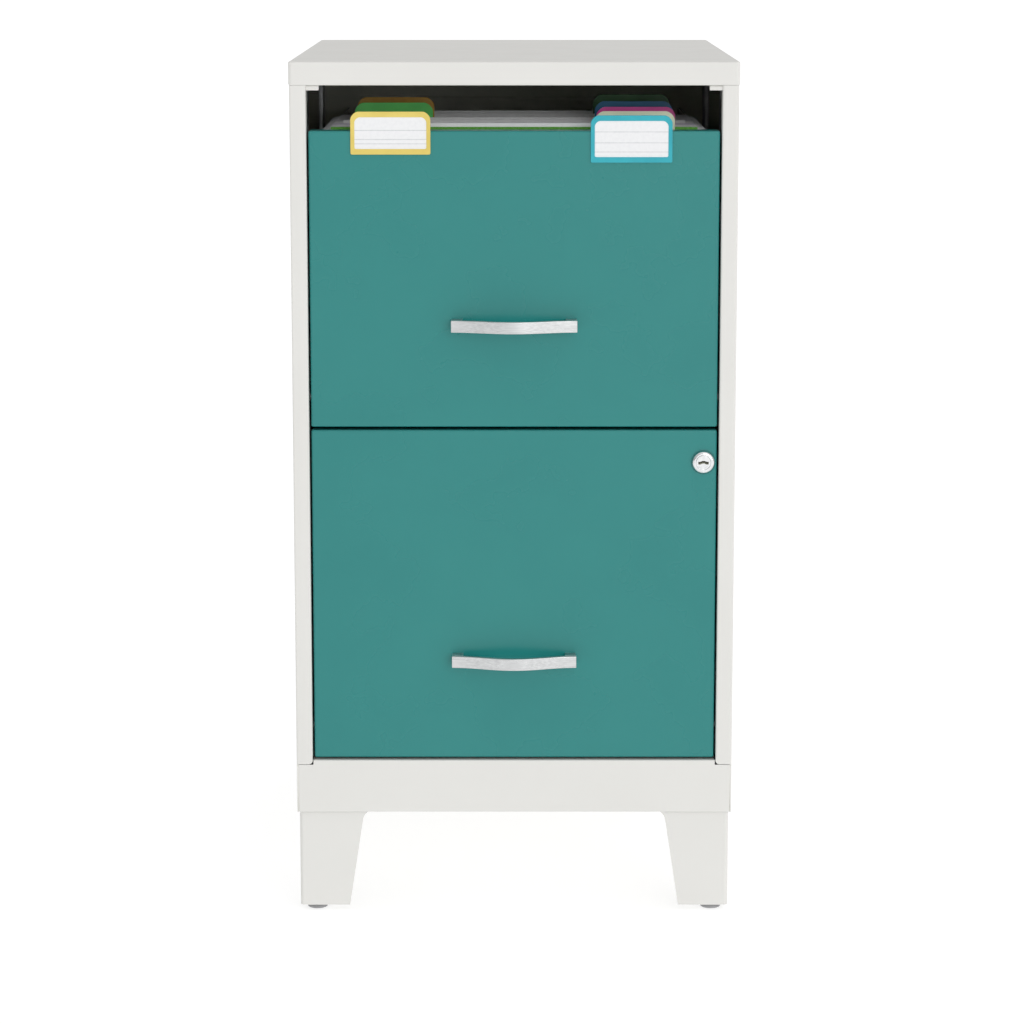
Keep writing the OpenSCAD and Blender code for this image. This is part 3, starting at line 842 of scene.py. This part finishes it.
def cabinet_rails(level):
    """Channel rail, open to the drawer, with its fixed axle, and its mirror image."""
    low, high = boxes[f"{level}_right_cabinet_rail"]
    roller = boxes[f"{level}_front_rollers"][1]
    lip_x = POST_X + 1.4 * MM
    path = [(lip_x, low.y, high.z), (high.x, low.y, high.z), (high.x, low.y, low.z),
            (lip_x, low.y, low.z)]
    channel = folded("channel", path, (0, high.y - low.y, 0), RAIL_SHEET, bend=1.9 * MM)
    for y in rows(low.y + 50 * MM, high.y - 50 * MM, 110 * MM):
        drill(channel, (high.x, y, (low.z + high.z) / 2), 3 * MM, 10 * MM, "X")
    axle_y = roller.y - ROLLER_R
    axle_z = roller.z - ROLLER_R
    out = roller.x - low.x
    root = high.x - low.x - 0.2 * MM
    profile = [(0, 0), (AXLE_R - 0.3 * MM, 0), (PIN_R, 0.3 * MM), (PIN_R, out + 0.2 * MM),
               (COLLAR_R, out + 0.2 * MM), (COLLAR_R, root), (0, root)]
    axle = turned("axle", profile, (low.x, axle_y, axle_z), "X")
    both_sides(joined(f"{level}_right_fixed_rail", channel, axle), f"{level}_right_cabinet_rail")


def drawer_rails(level):
    """Angle rail on the tray's side with the drawer's own axle, and its mirror image."""
    low, high = boxes[f"{level}_right_drawer_rail"]
    roller = boxes[f"{level}_rear_rollers"][1]
    lip_x = POST_X - MM
    path = [(low.x, low.y, low.z), (low.x, low.y, high.z), (lip_x, low.y, high.z)]
    angle = folded("angle", path, (0, high.y - low.y, 0), RAIL_SHEET, bend=1.6 * MM)
    axle_y = roller.y - ROLLER_R
    axle_z = roller.z - ROLLER_R
    length = high.x - low.x
    shoulder = roller.x - 4.8 * MM - 0.2 * MM - low.x
    profile = [(0, MM), (COLLAR_R, MM), (COLLAR_R, shoulder), (PIN_R, shoulder),
               (PIN_R, length - 0.3 * MM), (AXLE_R - 0.3 * MM, length), (0, length)]
    axle = turned("axle", profile, (low.x, axle_y, axle_z), "X")
    both_sides(joined(f"{level}_right_moving_rail", angle, axle), f"{level}_right_drawer_rail")


def rollers(name):
    """A pair of moulded rollers: rounded tread, dished face and a hub."""
    high = boxes[name][1]
    inner = next(v.co.x for v in sorted(frame["nodes"][name].data.vertices, key=lambda v: abs(v.co.x)))
    width = high.x - abs(inner)
    rim = 0.8 * MM
    bore = AXLE_R + 0.05 * MM
    profile = ([(bore, 0), (4.4 * MM, 0), (4.7 * MM, 0.5 * MM), (7 * MM, 0.5 * MM), (7.4 * MM, 0)]
               + arc((ROLLER_R - rim, rim), rim, -90, 0, 3)
               + arc((ROLLER_R - rim, width - rim), rim, 0, 90, 3)
               + [(7.4 * MM, width), (7 * MM, width - 0.5 * MM), (4.7 * MM, width - 0.5 * MM),
                  (4.4 * MM, width), (bore, width), (bore, 0)])
    right = turned("roller", profile, (high.x - width, high.y - ROLLER_R, high.z - ROLLER_R), "X")
    pair = joined(f"{name[:-1]}_pair", right, mirrored(right, "left_roller"))
    stand_for(pair, name)


# ---- Drawers ----

SCREW_HEAD_R = 4 * MM
LOCK_DISH = (10.2 * MM, 1.4 * MM)       # radius and drilled depth of the dish round the lock
LOCK_HOLE = (8.2 * MM, 8 * MM)          # and of the hole for its barrel


def drawer_front(level, has_lock):
    """Deep pressed pan with softly rounded edges, open at the back."""
    low, high = boxes[f"{level}_drawer_front"]
    pan = block(f"{level}_front_pan", low, high)
    with editing(pan):
        pick("FACE", lambda middle, way: way.y > 0.9)
        bpy.ops.mesh.delete(type="FACE")
        round_folds(1.7 * MM, 60, 4)
    thicken(pan)
    front_holes(pan, level, FACE_Y, (LOCK_DISH, LOCK_HOLE) if has_lock else ())
    stand_for(soften(pan, FOLD_EDGE), f"{level}_drawer_front")


def drawer_liner(level, has_lock):
    """Inner sheet that closes the front's pan, pressed back above the handle's screws."""
    low, high = boxes[f"{level}_drawer_liner"]
    liner = pressed_panel(f"{level}_liner_sheet", low, high, (24 * MM, 105 * MM, 45 * MM), 2 * MM, 1)
    front_holes(liner, level, high.y, (LOCK_HOLE,) if has_lock else ())
    stand_for(liner, f"{level}_drawer_liner")


def front_holes(sheet, level, y, lock_holes):
    """Drills the front for its handle's screws, and as deep and wide as the lock needs."""
    low, high = boxes[f"{level}_handle_screws"]
    for x in (low.x + SCREW_HEAD_R, high.x - SCREW_HEAD_R):
        drill(sheet, (x, y, (low.z + high.z) / 2), 2.2 * MM, 8 * MM)
    for radius, depth in lock_holes:
        drill(sheet, lock_centre(y), radius, depth)


def lock_centre(y):
    """The lock's axis at a depth y."""
    low, high = boxes["lock_housing"]
    return ((low.x + high.x) / 2, y, (low.z + high.z) / 2)


def drawer_tray(level):
    """Floor and sides from one sheet, with the sides' top edges hemmed inwards."""
    low, high = boxes[f"{level}_drawer_tray"]
    hem_w = 2.2 * MM
    hem_h = 9 * MM
    half = [(high.x - hem_w, high.z - hem_h), (high.x - hem_w, high.z), (high.x, high.z), (high.x, low.z)]
    outline = half + [(-x, z) for x, z in reversed(half)]
    tray = folded(f"{level}_tray_shell", [(x, low.y, z) for x, z in outline], (0, high.y - low.y, 0),
                  TRAY_SHEET, bend=MM)
    stand_for(tray, f"{level}_drawer_tray")


def drawer_back(level):
    low, high = boxes[f"{level}_drawer_back"]
    margins = (30 * MM, 30 * MM, 30 * MM)
    back = pressed_panel(f"{level}_back_sheet", low, high, margins, 2 * MM, -1, TRAY_SHEET)
    stand_for(back, f"{level}_drawer_back")


# ---- Handles ----

BAR_T = 4.8 * MM
BAR_END_GAP = 8.2 * MM
BAR_MID_GAP = 19 * MM


def bar_gap(x, length):
    """Clearance behind the bar at a distance x from its middle: one smooth bow, flat at both ends."""
    return BAR_END_GAP + (BAR_MID_GAP - BAR_END_GAP) * (1 + math.cos(2 * math.pi * x / length)) / 2


def handle_bar(level):
    """Flat bar bowed outwards, drawn end to end along its curve."""
    low, high = boxes[f"{level}_handle_bar"]
    length = high.x - low.x
    middle_z = (low.z + high.z) / 2
    steps = 36
    places = [low.x + length * i / steps for i in range(steps + 1)]
    stops = [(x, FACE_Y - bar_gap(x, length)) for x in places]
    bar = primitive("plane", f"{level}_bowed_bar", location=(stops[0][0], stops[0][1] - BAR_T / 2, middle_z),
                    rotation=(0, math.pi / 2, 0), scale=(high.z - low.z, BAR_T, 1), size=1)
    with editing(bar):
        pick_all()
        for start, end in zip(stops, stops[1:]):
            pull((end[0] - start[0], end[1] - start[1], 0))
    soften(face_out(bar), 0.55 * MM, 3, 60)
    stand_for(bar, f"{level}_handle_bar")


def handle_screws(level):
    """Pan head screws with a cross recess, driven from inside the drawer."""
    low, high = boxes[f"{level}_handle_screws"]
    shank_r = 1.95 * MM
    dome_r = 1.4 * MM
    z = (low.z + high.z) / 2
    profile = [(0, 0), (shank_r - 0.4 * MM, 0), (shank_r, 0.4 * MM), (shank_r, LINER_Y - low.y),
               (SCREW_HEAD_R, LINER_Y - low.y)]
    profile += arc((SCREW_HEAD_R - dome_r, high.y - low.y - dome_r), dome_r, 0, 90)
    profile += [(0, high.y - low.y)]
    screws = []
    for x in (low.x + SCREW_HEAD_R, high.x - SCREW_HEAD_R):
        screw = turned("screw", profile, (x, low.y, z), "Y")
        for half_x, half_z in ((2.3 * MM, 0.4 * MM), (0.4 * MM, 2.3 * MM)):
            cut(screw, block("cross", (x - half_x, high.y - 1.2 * MM, z - half_z),
                             (x + half_x, high.y + MM, z + half_z)))
        screws.append(screw)
    stand_for(joined(f"{level}_pan_screws", *screws), f"{level}_handle_screws")


# ---- Lock ----

PLUG_R = 6 * MM
BARREL_R = 8 * MM


def lock_housing():
    """Turned bezel with a bevelled rim, and the barrel that runs through the front."""
    low, high = boxes["lock_housing"]
    bezel_r = (high.x - low.x) / 2
    bezel_t = FACE_Y - low.y
    length = high.y - low.y
    bore = PLUG_R + 0.05 * MM
    rim = 2.1 * MM
    profile = ([(bore, 0.25 * MM), (bore + 0.25 * MM, 0), (bezel_r - rim, 0)]
               + arc((bezel_r - rim, rim), rim, -90, 0, 6)
               + [(bezel_r, bezel_t), (BARREL_R, bezel_t), (BARREL_R, length - 0.4 * MM),
                  (BARREL_R - 0.4 * MM, length), (bore, length), (bore, 0.25 * MM)])
    stand_for(turned("lock_bezel", profile, lock_centre(low.y), "Y", 64), "lock_housing")


def lock_plug():
    """Plug with a waved keyway across its face."""
    low, high = boxes["lock_plug"]
    length = high.y - low.y
    plug_end = boxes["lock_housing"][1].y + 0.5 * MM - low.y
    tail_r = 3.95 * MM
    profile = [(0, 0), (PLUG_R - 0.3 * MM, 0), (PLUG_R, 0.3 * MM), (PLUG_R, plug_end), (tail_r, plug_end),
               (tail_r, length - 0.3 * MM), (tail_r - 0.3 * MM, length), (0, length)]
    centre = Vector(lock_centre(low.y))
    plug = turned("lock_core", profile, centre, "Y", 64)
    half = 4.3 * MM
    thick = 2.4 * MM
    wave = 0.45 * MM
    places = [-half + 2 * half * i / 16 for i in range(17)]
    heights = [wave * math.cos(2 * math.pi * x / (1.5 * half)) - thick / 2 for x in places]
    keyway = wire("keyway", [(centre.x + x, low.y - MM, centre.z + z) for x, z in zip(places, heights)])
    with editing(keyway):
        pick_all()
        pull((0, 0, thick))
        pick_all()
        pull((0, 12 * MM, 0))
    cut(plug, face_out(keyway))
    stand_for(plug, "lock_plug")
    # Painted shade in the keyway: its inner faces get the cavity coat instead of the plug's metal.
    paint_cavity_shade(plug, lambda point, normal: low.y + 0.2 * MM < point.y < low.y + 12.5 * MM and
                (point - centre).xz.length < 4.6 * MM)


# ---- Contents of the upper drawer ----

FOLDERS = 15
FOLDER_HALF = 149 * MM
BAR_TOP = boxes["hanging_folders"][1].z
FOLDER_Y = boxes["hanging_folders"][0].y + 1.5 * MM


def hanging_folders():
    """Row of card folders, each over a flat steel bar and with papers in."""
    low, high = boxes["hanging_folders"]
    dice = random.Random(7)
    bars, cards, papers = [], [], []
    tip_x = high.x - 0.3 * MM
    for i in range(FOLDERS):
        y = FOLDER_Y + i * FOLDER_PITCH
        bars.append(folder_bar(y, tip_x, high.z))
        cards.append(card_pocket(y, low.z, dice.uniform(-0.15, 0.15) * MM))
        papers.append(paper_stack(y, low.z, dice))
    row = joined("folder_cards", *cards)
    stand_for(row, "hanging_folders")
    ride_with(row, joined("folder_bars", *bars), "zinc_steel")
    ride_with(row, joined("folder_papers", *papers), "card_paper")


def ride_with(other, piece, slot):
    """Adds a piece of its own to the body that the other rides on."""
    paint(smooth(piece), slot)
    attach(piece, other["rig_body"])


def folder_bar(y, tip_x, top):
    """Flat bar on edge, its top sloping down at both ends, where it rests on the tray's sides."""
    half_t = 0.5 * MM
    bar_h = 7 * MM
    throat = 5.2 * MM
    bar = block("bar", (-tip_x, y - half_t, top - bar_h - 0.3 * MM), (tip_x, y + half_t, top - 0.3 * MM))
    with editing(bar):
        for side in (-1, 1):
            slice_at((side * (tip_x - throat), 0, 0), (1, 0, 0))
        pick("VERT", lambda middle, way: abs(middle.x) > tip_x - MM and middle.z > top - 2 * MM)
        bpy.ops.transform.translate(value=(0, 0, -1.6 * MM))
    return soften(bar, 0.2 * MM, 1)


def card_pocket(y, low_z, lean):
    """One folded card: over the bar, down both sides and together at the bottom."""
    spread = 1.35 * MM
    neck = 0.75 * MM
    top_z = BAR_TOP + MM
    outline = [(y + lean - spread, low_z + 3 * MM), (y - spread, BAR_TOP - 14 * MM),
               (y - neck, BAR_TOP - 6 * MM), (y - neck, top_z),
               (y + neck, top_z), (y + neck, BAR_TOP - 6 * MM),
               (y + spread, BAR_TOP - 14 * MM), (y + lean + spread, low_z + 3 * MM), (y + lean, low_z)]
    outline.append(outline[0])
    pocket = wire("pocket", [(-FOLDER_HALF, py, pz) for py, pz in outline])
    with editing(pocket):
        pick_all()
        bpy.ops.mesh.remove_doubles(threshold=0.001 * MM)
        pull((2 * FOLDER_HALF, 0, 0))
    return thicken(face_out(pocket), 0.3 * MM)


def paper_stack(y, low_z, dice):
    """A few sheets standing in the pocket."""
    half_w = 105 * MM + dice.uniform(0, 38) * MM
    top = BAR_TOP + dice.uniform(0, 6) * MM
    thick = dice.uniform(0.25, 0.7) * MM
    return block("papers", (-half_w, y - thick, low_z + MM), (half_w, y + thick, top))


def index_tab(name):
    """Stiff tab with clipped top corners, clipped to the front of a folder."""
    low, high = boxes[name]
    tab = clipped_plate(name[:-4] + "_index_tab", low, (high.x, low.y, high.z), 7 * MM, high.y - low.y)
    stand_for(soften(tab, 0.2 * MM), name)


def clipped_plate(name, low, high, clip, thickness):
    """Upright plate with clipped top corners, its front face in the plane of the low corner."""
    plate = primitive("plane", name, location=((low[0] + high[0]) / 2, low[1], (low[2] + high[2]) / 2),
                      rotation=(math.pi / 2, 0, 0), scale=(high[0] - low[0], high[2] - low[2], 1), size=1)
    with editing(plate):
        pick("VERT", lambda middle, way: near(middle.z, high[2]))
        bpy.ops.mesh.bevel(offset=clip, segments=5, profile=0.42, affect="VERTICES")
        pick("VERT", lambda middle, way: near(middle.z, low[2]))
        bpy.ops.mesh.bevel(offset=1.2 * MM, segments=3, affect="VERTICES")
        pick_all()
        pull((0, thickness, 0))
    return face_out(plate)


WINDOW_RIM = 4.5 * MM       # height of a label holder's rim above and below its window
RULE_T = 0.45 * MM          # thickness of a ruled line on a card


def label_holder(name):
    """Coloured holder hooked over the drawer front: a rimmed window with clipped top corners."""
    low, high = boxes[name]
    rim = 3.3 * MM
    front_t = FACE_Y - low.y
    clip = 6 * MM
    hook_z = boxes["upper_drawer_front"][1].z + 0.8 * MM
    plate = clipped_plate("plate", low, (high.x, low.y, high.z), clip, front_t)
    window = clipped_plate("window", (low.x + rim, low.y - MM, low.z + WINDOW_RIM),
                           (high.x - rim, low.y - MM, high.z - WINDOW_RIM), 4 * MM, front_t + 0.5 * MM)
    soften(cut(plate, window), 0.3 * MM)
    path = [(low.x + clip, FACE_Y - 0.2 * MM, hook_z), (low.x + clip, high.y, hook_z)]
    hook = folded("hook", path, (high.x - low.x - 2 * clip, 0, 0), 0.75 * MM)
    stand_for(joined(name[:-7] + "_clip", plate, hook), name)


def label_cards():
    """A white card in each holder's window, with a few ruled lines."""
    low_all, high_all = boxes["label_cards"]
    rules = {"yellow_label_holder": (0.42, 0.7, 0.84), "cyan_label_holder": (0.31, 0.61, 0.86)}
    cards = []
    for holder, places in rules.items():
        low, high = boxes[holder]
        rim = 3.1 * MM
        top = high.z - WINDOW_RIM + 0.3 * MM
        card = clipped_plate("card", (low.x + rim, low_all.y, low.z + rim), (high.x - rim, low_all.y, top),
                             4 * MM, high_all.y - low_all.y)
        window_h = top - low.z - WINDOW_RIM
        for place in places:
            for edge in (-0.5, 0.5):
                with editing(card):
                    slice_at((0, 0, top - place * window_h + edge * RULE_T), (0, 0, 1))
        card.data.materials.append(finishes["card_paper"])
        card.data.materials.append(finishes["ruled_ink"])
        for face in card.data.polygons:
            share = (top - face.center.z) / window_h
            inked = any(abs(share - place) * window_h < 0.5 * RULE_T for place in places)
            face.material_index = int(inked and face.normal.y < -0.9)
        cards.append(card)
    pair = joined("holder_cards", *cards)
    smooth(pair)
    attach(pair, frame["nodes"]["label_cards"]["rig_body"])
    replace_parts(pair, "label_cards")


# ---- Camera, light and floor ----

def camera():
    """Long lens a little above the cap, aimed down a little."""
    distance = 2.6
    over_cap = 0.1164
    aside = -1.75 * MM
    tilt = math.radians(9.72)
    lens = bpy.data.cameras.new("camera")
    lens.lens = 113.2
    lens.shift_y = -0.045
    lens.clip_end = 300
    made = bpy.data.objects.new("camera", lens)
    bpy.context.scene.collection.objects.link(made)
    made.location = (aside, FRONT_Y - distance, CAP_TOP_Z + over_cap)
    made.rotation_euler = (math.pi / 2 - tilt, 0, 0)
    bpy.context.scene.camera = made


def floor():
    """Wide pale floor, lit a little from within so that it stays white."""
    white = (1.0, 1.0, 1.0, 1.0)
    tree, shader = finish("floor", Roughness=0.7, Emission_Strength=0.63, Emission_Color=white)
    drift = between(tree, noise_at(tree, 0.8, 2.0), 0.49, 0.51)
    tree.links.new(node(tree, "CombineColor", {0: drift, 1: drift, 2: drift}).outputs[0],
                   shader.inputs["Base Color"])
    ground = primitive("plane", "floor", size=240)
    ground.data.materials.append(finishes["floor"])


def studio():
    """White surroundings and one broad soft light from the front, to the right."""
    world = bpy.data.worlds.new("studio")
    bpy.context.scene.world = world
    world.use_nodes = True
    background = world.node_tree.nodes["Background"]
    background.inputs["Color"].default_value = (1.0, 1.0, 1.0, 1.0)
    tree = world.node_tree
    seen = node(tree, "LightPath").outputs["Is Camera Ray"]
    way = node(tree, "SeparateXYZ", {0: node(tree, "TexCoord").outputs["Generated"]})
    sides = between(tree, way.outputs["X"], 0.38, 0.655, -0.55, 0.25)
    overhead = between(tree, way.outputs["Z"], -0.08, 0.43, 0.0, 1.0)
    light = math_of(tree, "ADD", sides, overhead)
    tree.links.new(between(tree, seen, light, 1.02), background.inputs["Strength"])
    sun = bpy.data.lights.new("key", "SUN")
    sun.energy = 0.72
    sun.angle = math.radians(40)
    key = bpy.data.objects.new("key", sun)
    bpy.context.scene.collection.objects.link(key)
    key.rotation_euler = Vector((0.4, -1, 0.18)).to_track_quat("Z", "Y").to_euler()
    bpy.context.scene.view_settings.view_transform = "Standard"


for name, part in frame["nodes"].items():
    paint(part, slot_of[name])

top_cap()
side_panels()
back_panel()
plain_part("bottom_sheet", "bottom_panel")
front_plinth()
front_gussets()
uprights()
legs()
plain_part("leg_bolt_set", "leg_bolts", 0.4 * MM)
glides()
for level, has_lock in (("upper", False), ("lower", True)):
    cabinet_rails(level)
    drawer_rails(level)
    rollers(f"{level}_front_rollers")
    rollers(f"{level}_rear_rollers")
    drawer_front(level, has_lock)
    drawer_liner(level, has_lock)
    drawer_tray(level)
    drawer_back(level)
    handle_bar(level)
    plain_part(f"{level}_bar_posts", f"{level}_handle_feet", 0.5 * MM, 3)
    handle_screws(level)
lock_housing()
lock_plug()
plain_part("lock_tongue", "lock_cam")
plain_part("lock_ring_nut", "lock_nut", 0.4 * MM)
hanging_folders()
for name in boxes:
    if name.endswith("_tab"):
        index_tab(name)
label_holder("yellow_label_holder")
label_holder("cyan_label_holder")
label_cards()
floor()
studio()
camera()
